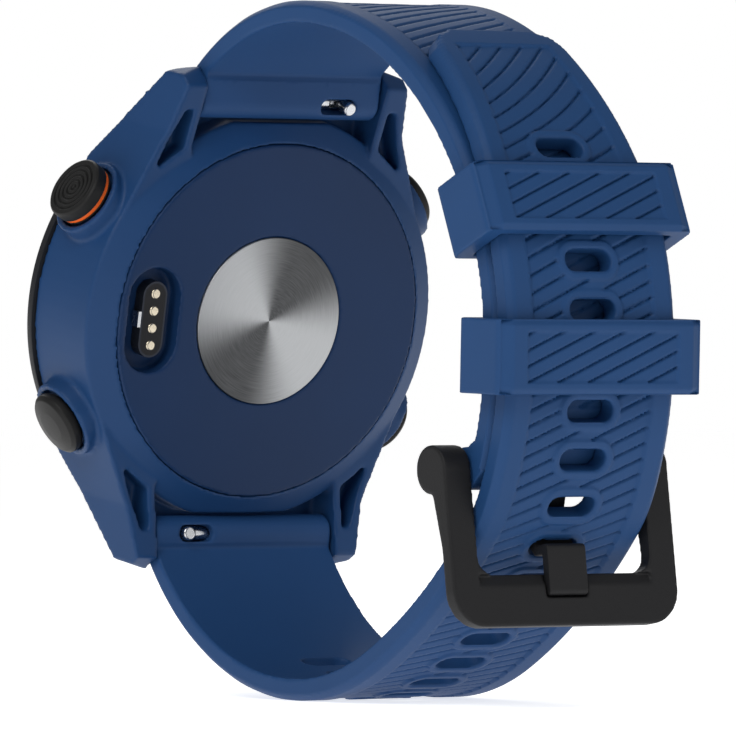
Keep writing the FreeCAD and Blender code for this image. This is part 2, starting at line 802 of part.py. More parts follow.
def arc_edge(centre, radius, start, end):
    stops = [centre + polar(angle) * radius for angle in (start, (start + end) / 2, end)]
    return Part.Arc(*stops).toShape()


def band(arcs, inside, outside, width):
    # a strip of the loop between two distances from the path, across the full width
    outer = [arc_edge(c, r + outside, a, b) for c, r, a, b in arcs]
    inner = [arc_edge(c, r - inside, b, a) for c, r, a, b in reversed(arcs)]
    first = arcs[0]
    last = arcs[-1]
    far = [last[0] + polar(last[3]) * (last[1] + side) for side in (outside, -inside)]
    near = [first[0] + polar(first[2]) * (first[1] + side) for side in (-inside, outside)]
    edges = outer + [Part.makeLine(*far)] + inner + [Part.makeLine(*near)]
    face = Part.Face(Part.Wire(edges))
    face.translate(Vector(-width / 2, 0, 0))
    return face.extrude(Vector(width, 0, 0))


def slab(corners, width):
    # a polygon in the upright plane, given width about the middle
    shift = Vector(-width / 2, 0, 0)
    return prism([corner + shift for corner in corners], Vector(width, 0, 0))


def back_from_tip(arcs, distance):
    # the place on the path at a distance from its far end, with its outward direction
    for centre, radius, start, end in reversed(arcs):
        length = radius * abs(math.radians(end - start))
        if distance <= length:
            angle = end - math.copysign(math.degrees(distance / radius), end - start)
            return centre + polar(angle) * radius, polar(angle)
        distance -= length
    raise ValueError("the strap is shorter than its row of holes")


half_thick = size("strap_thick") / 2
end_width = size("strap_end_width")
top_spot = head_spot(size("bar_reach") + size("top_neck_run"), size("bar_rise"))
buckle_arcs, buckle_end, buckle_heading = follow(top_spot, 90 - size("head_lean"), [
    (size("neck_radius"), -size("top_bend")),
    (size("crown_radius"), -size("crown_turn")),
    (size("shoulder_radius"), -size("shoulder_turn")),
    (size("fall_radius"), -size("fall_turn")),
])
shoulder = buckle_arcs[2]
fall = buckle_arcs[3]
layer_gap = size("strap_thick") + size("strap_gap")

bottom_spot = head_spot(-size("bar_reach") - size("bottom_neck_run"), size("bar_rise"))
tail_arcs, heel_spot, heel_heading = follow(bottom_spot, -90 - size("head_lean"), [
    (size("neck_radius"), size("bottom_bend")),
    (size("sole_radius"), size("sole_turn")),
    (size("heel_radius"), size("heel_turn")),
])
# the closing arc starts on the heel and meets the outer layer's arc without a kink
outer_radius = fall[1] + layer_gap
offset = heel_spot - fall[0]
inward = polar(heel_heading + 90)
closing_radius = (outer_radius ** 2 - offset.Length ** 2) / (2 * (offset.dot(inward) + outer_radius))
closing_centre = heel_spot + inward * closing_radius
contact = closing_centre - fall[0]
contact_angle = math.degrees(math.atan2(contact.z, contact.y))
tail_arcs.append((closing_centre, closing_radius, heel_heading - 90, contact_angle))
tail_arcs.append((fall[0], outer_radius, contact_angle, fall[2]))
tip_angle = fall[2] + size("tip_turn")
tail_arcs.append((shoulder[0], shoulder[1] + layer_gap, fall[2], tip_angle))


def strap_end(spot, reach_sign, run):
    # the thick rolled end round the spring bar, drawn in to the strap's own thickness
    bar = head_spot(reach_sign * size("bar_reach"), size("bar_rise"))
    along = head_spot(reach_sign, 0) - head_spot(0, 0)
    front = head_spot(0, 1) - head_spot(0, 0)
    roll = post(size("end_radius"), bar - across * (end_width / 2), across, end_width)
    wide = size("end_radius")
    collar = slab([
        bar + front * wide,
        bar - front * wide,
        bar - front * wide + along * (run + size("end_flush")),
        spot + along * size("end_overlap"),
        spot + front * half_thick + along * size("end_overlap"),
    ], end_width)
    return roll.fuse(collar)


def width_trim(near):
    # narrows the strap evenly from its end width to its own width, then stays
    wide = end_width / 2
    slim = size("strap_width") / 2
    far = near + size("end_taper")
    end = near + size("trim_run")
    outside = wide + size("trim_margin")
    low = -size("strap_width")
    corners = [
        Vector(wide, near, low),
        Vector(outside, near, low),
        Vector(outside, end, low),
        Vector(slim, end, low),
        Vector(slim, far, low),
    ]
    trim = prism(corners, Vector(0, 0, size("trim_run")))
    return [trim, trim.mirror(Vector(), across)]


bar_tools = {}
for name, end in (("top", 1), ("bottom", -1)):
    bar_tools[name] = [placed(item, bar_place(end)) for item in (bar_bore, strap_slot)]

# Buckle pin, held in the thick lower end of the buckle strap
strap_inward = polar(buckle_heading - 90)
strap_onward = polar(buckle_heading)
pin_spot = buckle_end + strap_inward * size("pin_inset") + strap_onward * size("pin_drop")
pin_end = post(size("pin_tube"), pin_spot - across * (size("strap_width") / 2), across, size("strap_width"))
collar_out = size("pin_tube") * size("collar_out_share")
collar_drop = size("pin_tube") * size("collar_drop_share")
pin_collar = slab([
    buckle_end - strap_inward * half_thick,
    pin_spot - strap_inward * collar_out + strap_onward * collar_drop,
    pin_spot,
    pin_spot + strap_inward * size("pin_tube"),
    buckle_end + strap_inward * half_thick - strap_onward * (size("collar_up_share") * size("pin_tube")),
    buckle_end - strap_inward * half_thick - strap_onward * half_thick,
], size("strap_width"))
tongue_bay_half = size("tongue_width") / 2 + 2 * size("tongue_play")
tongue_bay = post(size("pin_tube") + size("tongue_play"), pin_spot - across * tongue_bay_half, across,
                  2 * tongue_bay_half)
pin_bore = post(size("pin_radius") + size("pin_play"), pin_spot - across * bay_half, across, 2 * bay_half)

buckle_strap = band(buckle_arcs, half_thick, half_thick, end_width)
buckle_strap = buckle_strap.fuse([strap_end(top_spot, 1, size("top_neck_run"))])
buckle_strap = buckle_strap.cut(width_trim(top_spot.y))
buckle_strap = buckle_strap.fuse([pin_end, pin_collar]).cut(bar_tools["top"] + [tongue_bay, pin_bore])
built("buckle_strap", buckle_strap)

# Tail strap: holes in a row, tapered and rounded tip
tip_spot = back_from_tip(tail_arcs, 0)[0]
taper_spot = back_from_tip(tail_arcs, size("tip_taper"))[0]
tip_along = taper_spot - tip_spot
taper_run = tip_along.Length
tip_along.normalize()
tip_normal = tip_along.cross(across)
tip_half = size("tip_width") / 2
tip_round = size("tip_round")


def tip_corner(x, along):
    return Vector(x, 0, 0) + tip_spot + tip_along * along - tip_normal * size("strap_width") / 2


tip_trim = prism([
    tip_corner(tip_half - tip_round, -size("tip_overrun")),
    tip_corner(end_width, -size("tip_overrun")),
    tip_corner(end_width, taper_run),
    tip_corner(size("strap_width") / 2, taper_run),
    tip_corner(tip_half + size("tip_round_start") * tip_round, tip_round),
    tip_corner(tip_half - size("tip_round_middle") * tip_round, size("tip_round_fall") * tip_round),
    tip_corner(tip_half - tip_round, 0),
], tip_normal * size("strap_width"))
hole_tools = []
hole_row = [size("first_hole") + i * size("hole_pitch") for i in range(int(size("hole_count")))]
for distance in [size("tip_hole")] + hole_row:
    spot, outward = back_from_tip(tail_arcs, distance)
    turn = Rotation(upright, outward)
    half = size("hole_length") / 2
    run = size("hole_width") / 2 - half
    depth = 2 * size("strap_thick")
    tool = Part.makeBox(2 * run, 2 * half, depth, Vector(-run, -half, -depth / 2))
    tool = tool.fuse([post(half, Vector(x, 0, -depth / 2), upright, depth) for x in (-run, run)]).removeSplitter()
    lying = Rotation(across, math.degrees(math.atan2(outward.z, outward.y)) - 90)
    hole_tools.append(placed(tool, Placement(spot, lying)))
tail_strap = band(tail_arcs, half_thick, half_thick, end_width)
tail_strap = tail_strap.fuse([strap_end(bottom_spot, -1, size("bottom_neck_run"))])
tail_strap = tail_strap.cut(width_trim(bottom_spot.y) + [tip_trim, tip_trim.mirror(Vector(), across)])
tail_strap = tail_strap.cut(bar_tools["bottom"] + hole_tools)
built("tail_strap", tail_strap)

# Keepers: loops round both layers, curved inside like the straps
keeper_half = size("strap_width") / 2 + size("keeper_play") + size("keeper_side")
pass_half = size("strap_width") / 2 + size("keeper_play")
pass_inner = fall[1] - half_thick - size("keeper_play")
pass_outer = outer_radius + half_thick + size("keeper_play")
low = pass_inner - size("keeper_wall")
high = pass_outer + size("keeper_wall")
for name, turn in (("upper", size("upper_keeper_turn")), ("lower", size("lower_keeper_turn"))):
    angle = fall[2] - turn
    block = Part.makeBox(2 * keeper_half, high - low, size("keeper_length"),
                         Vector(-keeper_half, low, -size("keeper_length") / 2))
    long_edges = [edge for edge in block.Edges if abs(edge.tangentAt(edge.FirstParameter).z) > nearly_one]
    block = block.makeFillet(size("keeper_round"), long_edges)
    ring = post(pass_outer, Vector(-pass_half, 0, 0), across, 2 * pass_half)
    ring = ring.cut(post(pass_inner, Vector(-pass_half, 0, 0), across, 2 * pass_half))
    keeper = block.cut(ring)
    built(name + "_keeper", keeper, Placement(fall[0], Rotation(across, angle)))

# Buckle frame: local Y runs down the arms, local Z outwards, both from the pin
arm_inner = size("strap_width") / 2 + size("arm_gap")
arm_outer = arm_inner + size("arm_width")
face_high = size("arm_offset") + size("arm_thick") / 2
face_low = size("arm_offset") - size("arm_thick") / 2
drop = size("buckle_drop")
bar_top = drop - size("front_bar_height")
buckle_place = Placement(pin_spot, Rotation(across, size("arm_lean") - 90))
plate = Part.makeBox(2 * arm_outer, drop, size("arm_thick"), Vector(-arm_outer, 0, face_low))
corner_edges = [edge for edge in plate.Edges
                if abs(edge.tangentAt(edge.FirstParameter).z) > nearly_one and edge.CenterOfMass.y > drop / 2]
plate = plate.makeFillet(size("buckle_corner"), corner_edges)
window = Part.makeBox(2 * arm_inner, bar_top + drop, 3 * drop, Vector(-arm_inner, -drop, -drop))
window_edges = [edge for edge in window.Edges
                if abs(edge.tangentAt(edge.FirstParameter).z) > nearly_one and edge.CenterOfMass.y > 0]
window = window.makeFillet(size("buckle_corner") / 2, window_edges)
inner_bevel = prism([
    Vector(-arm_inner, bar_top, face_high),
    Vector(-arm_inner, bar_top + size("front_bar_bevel"), face_high),
    Vector(-arm_inner, bar_top, face_high - size("front_bar_bevel") / 2),
], Vector(2 * arm_inner, 0, 0))
seat_half = size("tongue_width") / 2 + size("tongue_play")
seat_end = bar_top + size("front_bar_height") * size("seat_share")
tongue_seat = Part.makeBox(2 * seat_half, seat_end - bar_top + size("cut_run"), size("arm_thick"),
                           Vector(-seat_half, bar_top - size("cut_run"), face_high - size("tongue_seat")))
frame_body = plate.cut([window])
knuckles = []
for side in (1, -1):
    x = arm_inner if side > 0 else -arm_outer
    root = [
        Vector(x, 0, face_high),
        Vector(x, drop / 2, face_high),
        Vector(x, drop / 2, face_low),
        Vector(x, size("arm_shoulder"), face_low - size("arm_swell")),
        Vector(x, 0, -size("knuckle_inset") - size("knuckle_radius")),
    ]
    knuckles.append(prism(root, Vector(size("arm_width"), 0, 0)))
    knuckles.append(post(size("knuckle_radius"), Vector(x, 0, -size("knuckle_inset")), across, size("arm_width")))
pin_length = 2 * (arm_outer - size("arm_width") / 3)
pin_hole = post(size("pin_radius"), Vector(-pin_length / 2, 0, 0), across, pin_length)
frame_body = frame_body.fuse(knuckles).cut([inner_bevel, tongue_seat, pin_hole])
built("buckle_frame", frame_body, buckle_place)
cylinder("buckle_pin", "pin_radius",
         "strap_width + arm_gap * 2 + arm_width * 2 - arm_width * 2 / 3",
         Placement(pin_spot - across * (pin_length / 2), Rotation(Vector(0, 1, 0), 90)))

# Tongue: a barrel on the pin and a bent strip through the strap onto the front bar


def from_pin(spot):
    # a place in the upright plane, as the buckle frame's own Y and Z
    local = buckle_place.inverse().multVec(spot)
    return Vector(0, local.y, local.z)


hole_spot, hole_out = back_from_tip(tail_arcs, hole_row[int(size("tongue_hole"))])
thick = size("tongue_thick")
rest_level = face_high - size("tongue_seat") + size("seat_play") + thick / 2
bends = [
    Vector(),
    from_pin(hole_spot - hole_out * (half_thick + thick * size("tongue_inner_share"))),
    from_pin(hole_spot + hole_out * (half_thick + thick * size("tongue_outer_share"))),
    Vector(0, bar_top - size("tongue_hump"), rest_level + size("tongue_rise")),
    Vector(0, seat_end - size("tongue_play") - thick / 2, rest_level),
]
wide = size("tongue_width")
pieces = [post(size("tongue_barrel"), Vector(-wide / 2, 0, 0), across, wide)]
for near, far in zip(bends, bends[1:]):
    along = (far - near).normalize()
    side = along.cross(across) * (thick / 2)
    pieces.append(slab([near + side, far + side, far - side, near - side], wide))
    pieces.append(post(thick / 2, far - across * (wide / 2), across, wide))
tongue_bore = post(size("pin_radius") + size("pin_play"), Vector(-wide, 0, 0), across, 2 * wide)
tongue = pieces[0].fuse(pieces[1:]).cut(tongue_bore)
built("buckle_tongue", tongue, buckle_place)

# Check every object, then write one file for each sub-part
doc.recompute()
sub_parts = []
for item in doc.Objects:
    bad = [state for state in item.State if state in ("Invalid", "Error")]
    if bad:
        raise RuntimeError(item.Label + " is " + " ".join(bad))
    if item.TypeId in ("PartDesign::Body", "Part::Feature", "Part::Cylinder"):
        sub_parts.append(item)
for item in sub_parts:
    if item.Shape.isNull() or not item.Shape.isValid() or item.Shape.Volume <= 0:
        raise RuntimeError(item.Label + " has no sound shape")
os.makedirs("parts", exist_ok=True)
total = Part.makeCompound([item.Shape for item in sub_parts]).BoundBox
for item in sub_parts:
    item.Shape.exportStep("parts/" + item.Label + ".step")
print("%d sub-parts, box %.2f to %.2f, %.2f to %.2f, %.2f to %.2f" % (
    len(sub_parts), total.XMin, total.XMax, total.YMin, total.YMax, total.ZMin, total.ZMax))
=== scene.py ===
# Golf watch looks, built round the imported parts
import bpy
import bmesh
import math
import numpy as np
from mathutils import Matrix, Vector


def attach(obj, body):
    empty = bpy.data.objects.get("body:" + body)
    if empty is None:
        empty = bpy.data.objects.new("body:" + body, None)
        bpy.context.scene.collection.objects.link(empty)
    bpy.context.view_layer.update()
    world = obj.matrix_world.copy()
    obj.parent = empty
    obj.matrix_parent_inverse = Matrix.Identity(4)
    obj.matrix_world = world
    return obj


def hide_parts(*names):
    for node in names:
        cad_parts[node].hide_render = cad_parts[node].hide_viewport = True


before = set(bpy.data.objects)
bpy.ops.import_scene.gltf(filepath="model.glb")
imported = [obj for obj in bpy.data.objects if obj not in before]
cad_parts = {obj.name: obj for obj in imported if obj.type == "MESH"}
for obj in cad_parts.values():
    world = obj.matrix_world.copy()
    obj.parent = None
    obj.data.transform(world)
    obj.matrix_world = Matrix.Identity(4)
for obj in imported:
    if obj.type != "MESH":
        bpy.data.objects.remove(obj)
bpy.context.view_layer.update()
mm = 0.001

# Shared places, matching the parts
headSpot = Vector((0, -20.6, 37.84)) * mm
headLean = 11.1
headUp = Vector((0, math.sin(math.radians(headLean)), math.cos(math.radians(headLean))))
headFront = Vector((0, -math.cos(math.radians(headLean)), math.sin(math.radians(headLean))))
headFrame = Matrix.Translation(headSpot) @ Matrix((
    (1, 0, 0, 0),
    (0, headUp.y, headFront.y, 0),
    (0, headUp.z, headFront.z, 0),
    (0, 0, 0, 1),
))


# Shader helpers
class Maths:
    def __init__(self, sheet, socket):
        self.sheet = sheet
        self.socket = socket

    def run(self, operation, *others):
        node = self.sheet.tree.nodes.new("ShaderNodeMath")
        node.operation = operation
        for place, item in zip(node.inputs, (self,) + others):
            if isinstance(item, Maths):
                self.sheet.tree.links.new(item.socket, place)
            else:
                place.default_value = item
        return Maths(self.sheet, node.outputs[0])

    def __add__(self, other):
        return self.run("ADD", other)

    def __radd__(self, other):
        return self.run("ADD", other)

    def __sub__(self, other):
        return self.run("SUBTRACT", other)

    def __rsub__(self, other):
        return (self * -1) + other

    def __mul__(self, other):
        return self.run("MULTIPLY", other)

    def __rmul__(self, other):
        return self.run("MULTIPLY", other)

    def __pow__(self, other):
        return self.run("POWER", other)

    def smooth(self, low, high):
        node = self.sheet.tree.nodes.new("ShaderNodeMapRange")
        node.interpolation_type = "SMOOTHSTEP"
        node.inputs["From Min"].default_value = low
        node.inputs["From Max"].default_value = high
        self.sheet.tree.links.new(self.socket, node.inputs["Value"])
        return Maths(self.sheet, node.outputs["Result"])


class Sheet:
    def __init__(self, name):
        self.material = bpy.data.materials.new(name)
        self.material.use_nodes = True
        self.tree = self.material.node_tree
        self.shader = self.tree.nodes["Principled BSDF"]
        self.place = self.node("ShaderNodeTexCoord").outputs["Object"]

    def node(self, kind, settings=None, **links):
        made = self.tree.nodes.new(kind)
        for key, value in (settings or {}).items():
            if key in made.inputs:
                made.inputs[key].default_value = value
            else:
                setattr(made, key, value)
        for key, value in links.items():
            source = value.socket if isinstance(value, Maths) else value
            self.tree.links.new(source, made.inputs[key.replace("_", " ")])
        return made

    def noise(self, scale, detail=3.0, place=None):
        made = self.node("ShaderNodeTexNoise", {"Scale": scale, "Detail": detail})
        self.tree.links.new(place or self.place, made.inputs["Vector"])
        return Maths(self, made.outputs["Fac"])

    def mix(self, factor, first, second):
        made = self.tree.nodes.new("ShaderNodeMix")
        made.data_type = "RGBA"
        self.tree.links.new(factor.socket, made.inputs[0])
        for place, colour in ((6, first), (7, second)):
            if isinstance(colour, (tuple, list)):
                made.inputs[place].default_value = (*colour[:3], 1)
            else:
                self.tree.links.new(colour, made.inputs[place])
        return made.outputs[2]

    def along(self, direction):
        made = self.node("ShaderNodeVectorMath", {"operation": "DOT_PRODUCT"})
        self.tree.links.new(self.place, made.inputs[0])
        made.inputs[1].default_value = direction
        return Maths(self, made.outputs["Value"])

    def feed(self, name, value):
        source = value.socket if isinstance(value, Maths) else value
        self.tree.links.new(source, self.shader.inputs[name])

    def bump(self, height, distance, strength=1.0, under=None):
        made = self.node("ShaderNodeBump", {"Distance": distance, "Strength": strength})
        self.tree.links.new(height.socket, made.inputs["Height"])
        if under is not None:
            self.tree.links.new(under, made.inputs["Normal"])
        return made.outputs["Normal"]


def plastic(name, colour, rough, grain, depth, tone=0.12, metal=0.0, coat=0.0):
    # moulded or painted surface: slow drift in tone, fine grain in roughness and height
    sheet = Sheet(name)
    slow = sheet.noise(90, 4)
    fine = sheet.noise(grain, 5)
    low = [c * (1 - tone) for c in colour]
    high = [min(1, c * (1 + tone)) for c in colour]
    sheet.feed("Base Color", sheet.mix(slow * 0.7 + fine * 0.3, low, high))
    sheet.feed("Roughness", fine * 0.16 + (rough - 0.08))
    sheet.feed("Normal", sheet.bump(fine, depth))
    sheet.shader.inputs["Metallic"].default_value = metal
    sheet.shader.inputs["Coat Weight"].default_value = coat
    sheet.shader.inputs["Specular IOR Level"].default_value = 0.2
    return sheet.material


def metal(name, colour, rough, grain=2600):
    sheet = Sheet(name)
    fine = sheet.noise(grain, 4)
    slow = sheet.noise(300, 3)
    sheet.feed("Base Color", sheet.mix(slow, [c * 0.86 for c in colour], colour))
    sheet.feed("Roughness", fine * 0.2 + (rough - 0.1))
    sheet.feed("Normal", sheet.bump(fine, 0.000004))
    sheet.shader.inputs["Metallic"].default_value = 1
    return sheet.material


strapLook = plastic("siliconeBlue", (0.012, 0.053, 0.158), 0.54, 9000, 0.000006)
caseLook = plastic("caseBlue", (0.010, 0.045, 0.136), 0.46, 12000, 0.000004)
coverLook = plastic("coverBlue", (0.0055, 0.026, 0.084), 0.48, 12000, 0.000004)
buckleLook = plastic("buckleBlack", (0.011, 0.011, 0.012), 0.50, 5200, 0.00002)
capLook = plastic("capBlack", (0.010, 0.010, 0.010), 0.46, 9000, 0.000006)
bezelLook = plastic("bezelBlack", (0.012, 0.013, 0.016), 0.40, 9000, 0.000006)
innerLook = plastic("innerGrey", (0.05, 0.055, 0.06), 0.5, 4000, 0.00001)
blackLook = plastic("portBlack", (0.010, 0.010, 0.012), 0.35, 6000, 0.000006)
rimLook = plastic("rimGrey", (0.03, 0.034, 0.045), 0.3, 6000, 0.000004, metal=0.6)
sealLook = plastic("sealRubber", (0.008, 0.008, 0.008), 0.6, 6000, 0.00001)
orangeLook = plastic("accentOrange", (0.80, 0.13, 0.02), 0.35, 5000, 0.000004)
boardLook = plastic("boardGreen", (0.01, 0.07, 0.035), 0.35, 3000, 0.00001, coat=0.4)
sheetLook = plastic("lightSheet", (0.75, 0.76, 0.78), 0.5, 2500, 0.000004, tone=0.04)
displayLook = plastic("displayDark", (0.010, 0.012, 0.014), 0.12, 5000, 0.000001, coat=0.6)
leadLook = plastic("leadAmber", (0.35, 0.13, 0.02), 0.35, 4000, 0.000004)
steelLook = metal("brightSteel", (0.62, 0.63, 0.65), 0.26)
brassLook = metal("beeperBrass", (0.62, 0.42, 0.16), 0.32)
goldLook = metal("contactGold", (0.70, 0.62, 0.48), 0.25)
copperLook = metal("antennaCopper", (0.62, 0.27, 0.13), 0.34)
foilLook = metal("batteryFoil", (0.52, 0.54, 0.57), 0.34)


def makePlateLook():
    # circular brushing: two bright fans and two dark ones are painted highlight and painted shade in the
    # base colour, in place of the brushed sheen; the fine rings in the grain are the real brushing
    sheet = Sheet("plateSteel")
    across = sheet.along((1, 0, 0))
    rise = sheet.along(tuple(headUp)) - headSpot.dot(headUp)
    angle = rise.run("ARCTAN2", across)
    radius = (across * across + rise * rise) ** 0.5
    # painted highlight and painted shade: bright and dark sectors round the centre, where the brushed
    # steel's sheen would fall
    paintedSheenFan = ((angle * 2 - math.radians(70)).run("COSINE") * 0.5 + 0.5).smooth(0.05, 0.95)
    ringPlace = sheet.node("ShaderNodeCombineXYZ", X=radius * 9000, Y=angle * 2.5)
    brush = sheet.noise(1.0, 2, ringPlace.outputs[0])
    # base tone: painted highlight fans mixed with the real ring grain
    tone = paintedSheenFan * 0.8 + brush * 0.2
    sheet.feed("Base Color", sheet.mix(tone, (0.022, 0.023, 0.025), (0.46, 0.47, 0.48)))
    sheet.feed("Roughness", brush * 0.15 + 0.28)
    sheet.feed("Normal", sheet.bump(brush, 0.000002))
    sheet.shader.inputs["Metallic"].default_value = 0.75
    return sheet.material


def makeLensLook():
    sheet = Sheet("lensGlass")
    smear = sheet.noise(60, 3)
    sheet.feed("Base Color", sheet.mix(smear, (0.006, 0.007, 0.009), (0.012, 0.014, 0.018)))
    sheet.feed("Roughness", smear * 0.03 + 0.03)
    sheet.shader.inputs["Coat Weight"].default_value = 0.5
    return sheet.material


plateLook = makePlateLook()
lensLook = makeLensLook()
print("materials made")


# Mesh helpers
def makePiece(name, verts, faces, look, body, nodes, sharp=32):
    mesh = bpy.data.meshes.new(name)
    mesh.from_pydata([tuple(v) for v in verts], [], faces)
    return finishPiece(bpy.data.objects.new(name, mesh), look, body, nodes, sharp)


def finishPiece(piece, look, body, nodes, sharp=32):
    if piece.name not in bpy.context.scene.collection.objects:
        bpy.context.scene.collection.objects.link(piece)
    shape = bmesh.new()
    shape.from_mesh(piece.data)
    bmesh.ops.recalc_face_normals(shape, faces=shape.faces)
    shape.to_mesh(piece.data)
    shape.free()
    piece.data.materials.clear()
    piece.data.materials.append(look)
    piece.data.shade_smooth()
    piece.data.set_sharp_from_angle(angle=math.radians(sharp))
    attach(piece, body)
    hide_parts(*nodes)
    return piece


def ringLoops(profile, place, count):
    # a profile of (radius, rise) turned round the place's own Z axis, in millimetres
    verts = []
    faces = []
    rows = []
    for radius, rise in profile:
        if radius < 1e-6:
            rows.append([len(verts)] * count)
            verts.append(place @ Vector((0, 0, rise * mm)))
            continue
        rows.append(list(range(len(verts), len(verts) + count)))
        for i in range(count):
            turn = math.tau * i / count
            x = radius * mm * math.cos(turn)
            y = radius * mm * math.sin(turn)
            verts.append(place @ Vector((x, y, rise * mm)))
    for near, far in zip(rows, rows[1:]):
        for i in range(count):
            j = (i + 1) % count
            corners = []
            for corner in (near[i], near[j], far[j], far[i]):
                if corner not in corners:
                    corners.append(corner)
            if len(corners) > 2:
                faces.append(corners)
    return verts, faces


def rounded(profile, radius, closed=True):
    # softens the corners of a turned profile
    made = []
    count = len(profile)
    for i in range(count):
        here = Vector(profile[i])
        if not closed and i in (0, count - 1):
            made.append(tuple(here))
            continue
        before = Vector(profile[i - 1])
        after = Vector(profile[(i + 1) % count])
        back = (before - here)
        on = (after - here)
        cut = min(radius, back.length * 0.45, on.length * 0.45)
        if here.x < 1e-6 or cut < 1e-4:
            made.append(tuple(here))
            continue
        start = here + back.normalized() * cut
        end = here + on.normalized() * cut
        for share in (0, 0.33, 0.67, 1):
            first = start.lerp(here, share)
            second = here.lerp(end, share)
            made.append(tuple(first.lerp(second, share)))
    return made


def turnedPiece(name, profile, place, look, body, nodes, soft=0.12, count=160):
    closed = profile[0][0] > 1e-6
    outline = rounded(profile, soft, closed)
    if closed:
        outline.append(outline[0])
    verts, faces = ringLoops(outline, place, count)
    if closed:
        verts = verts[:-count]
        size = len(verts)
        faces = [[corner % size for corner in face] for face in faces]
    return makePiece(name, verts, faces, look, body, nodes)


def remeshed(node, name, voxel, passes=3):
    # a fine even copy of a part's own mesh, ready to be shaped
    piece = bpy.data.objects.new(name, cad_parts[node].data.copy())
    bpy.context.scene.collection.objects.link(piece)
    steps = piece.modifiers.new("even", "REMESH")
    steps.mode = "VOXEL"
    steps.voxel_size = voxel * mm
    if passes:
        smooth = piece.modifiers.new("smooth", "SMOOTH")
        smooth.factor = 0.5
        smooth.iterations = passes
    graph = bpy.context.evaluated_depsgraph_get()
    mesh = bpy.data.meshes.new_from_object(piece.evaluated_get(graph))
    piece.modifiers.clear()
    piece.data = mesh
    return piece


def thinned(piece, most):
    # fewer faces where the surface is plain
    count = sum(len(face.vertices) - 2 for face in piece.data.polygons)
    if count <= most:
        return
    fewer = piece.modifiers.new("fewer", "DECIMATE")
    fewer.ratio = most / count
    graph = bpy.context.evaluated_depsgraph_get()
    mesh = bpy.data.meshes.new_from_object(piece.evaluated_get(graph))
    piece.modifiers.clear()
    piece.data = mesh


def readPoints(mesh):
    points = np.zeros(len(mesh.vertices) * 3)
    mesh.vertices.foreach_get("co", points)
    normals = np.zeros(len(mesh.vertices) * 3)
    mesh.vertex_normals.foreach_get("vector", normals)
    return points.reshape(-1, 3) / mm, normals.reshape(-1, 3)


def writePoints(mesh, points):
    mesh.vertices.foreach_set("co", (points * mm).ravel())
    mesh.update()


def ease(value, low, high):
    share = np.clip((value - low) / (high - low), 0, 1)
    return share * share * (3 - 2 * share)


# Strap paths, in millimetres: each arc is its centre (y, z), its radius and its two polar angles
tailPath = [
    ((-25.157, 15.652), 1.800, -191.10, -147.70),
    ((-2.039, 30.267), 29.150, -147.70, -63.50),
    ((-15.670, 57.607), 59.700, -63.50, -42.40),
    ((17.467, 27.349), 14.826, -42.40, -24.28),
    ((-0.238, 35.336), 34.250, -24.28, 26.10),
    ((-2.439, 34.258), 36.700, 26.10, 58.10),
]
bucklePath = [
    ((-16.099, 61.822), 1.800, 168.90, 127.00),
    ((-1.505, 42.455), 26.050, 127.00, 83.50),
    ((-2.439, 34.258), 34.300, 83.50, 26.10),
    ((-0.238, 35.336), 31.850, 26.10, -21.70),
]
ribbing = {
    "pitch": 1.55, "tipPitch": 2.35, "pitchRun": 34.0, "slope": 0.43, "tipSlope": 0.95, "slopeRun": 20.0,
    "recess": 0.16, "groove": 0.34, "slat": 0.25, "panelHalf": 7.3, "chamfer": 0.7,
}
tailHoles = {
    "tip": 16.4, "first": 23.3, "pitch": 4.77, "count": 17, "halfRun": 1.65, "half": 1.1,
    "rim": 0.75, "dip": 0.16, "dipRun": 0.2,
}


def followPath(points, path):
    # for each point: distance along the path, height over it, and the outward direction there
    best = np.full(len(points), 1e9)
    along = np.zeros(len(points))
    over = np.full(len(points), 99.0)
    angle = np.zeros(len(points))
    centre = np.zeros((len(points), 2))
    start = 0.0
    for (cy, cz), radius, first, last in path:
        dy = points[:, 1] - cy
        dz = points[:, 2] - cz
        reach = np.hypot(dy, dz)
        middle = (first + last) / 2
        turn = np.degrees(np.arctan2(dz, dy))
        turn = middle + (turn - middle + 180) % 360 - 180
        inside = np.abs(turn - middle) <= abs(last - first) / 2 + 0.05
        miss = np.abs(reach - radius)
        better = inside & (miss < best) & (miss < 1.5)
        side = math.copysign(1, last - first)
        best[better] = miss[better]
        along[better] = start + radius * np.radians(side * (turn[better] - first))
        over[better] = reach[better] - radius
        angle[better] = turn[better]
        centre[better] = (cy, cz)
        start += radius * math.radians(abs(last - first))
    outward = np.stack([np.zeros(len(points)), np.cos(np.radians(angle)), np.sin(np.radians(angle))], 1)
    return along, over, outward, best < 2, start


def ribPhase(fromEnd, across):
    # the slats are wider and steeper near the end, then settle to an even pitch
    start = ribbing["tipPitch"]
    change = ribbing["pitch"] - start
    run = ribbing["pitchRun"]
    near = np.clip(fromEnd, 0, run)
    pitch = start + change * near / run
    count = run / change * np.log(pitch / start) + np.clip(fromEnd - run, 0, None) / ribbing["pitch"]
    steeper = ribbing["tipSlope"] - ribbing["slope"]
    lean = ribbing["slope"] + steeper * (1 - ease(fromEnd, 0, ribbing["slopeRun"]))
    return lean * across / pitch - count


def evenPhase(up, across):
    return (up + ribbing["slope"] * across) / ribbing["pitch"]


def louvres(phase):
    # overlapping slats: each slopes gently down to a narrow groove
    share = phase - np.floor(phase)
    slat = ribbing["slat"] * share
    groove = ease(share, 0.76, 0.86) * (1 - ease(share, 0.93, 1.0))
    return -ribbing["groove"] * np.maximum(slat * (1 - ease(share, 0.93, 1.0)), groove)


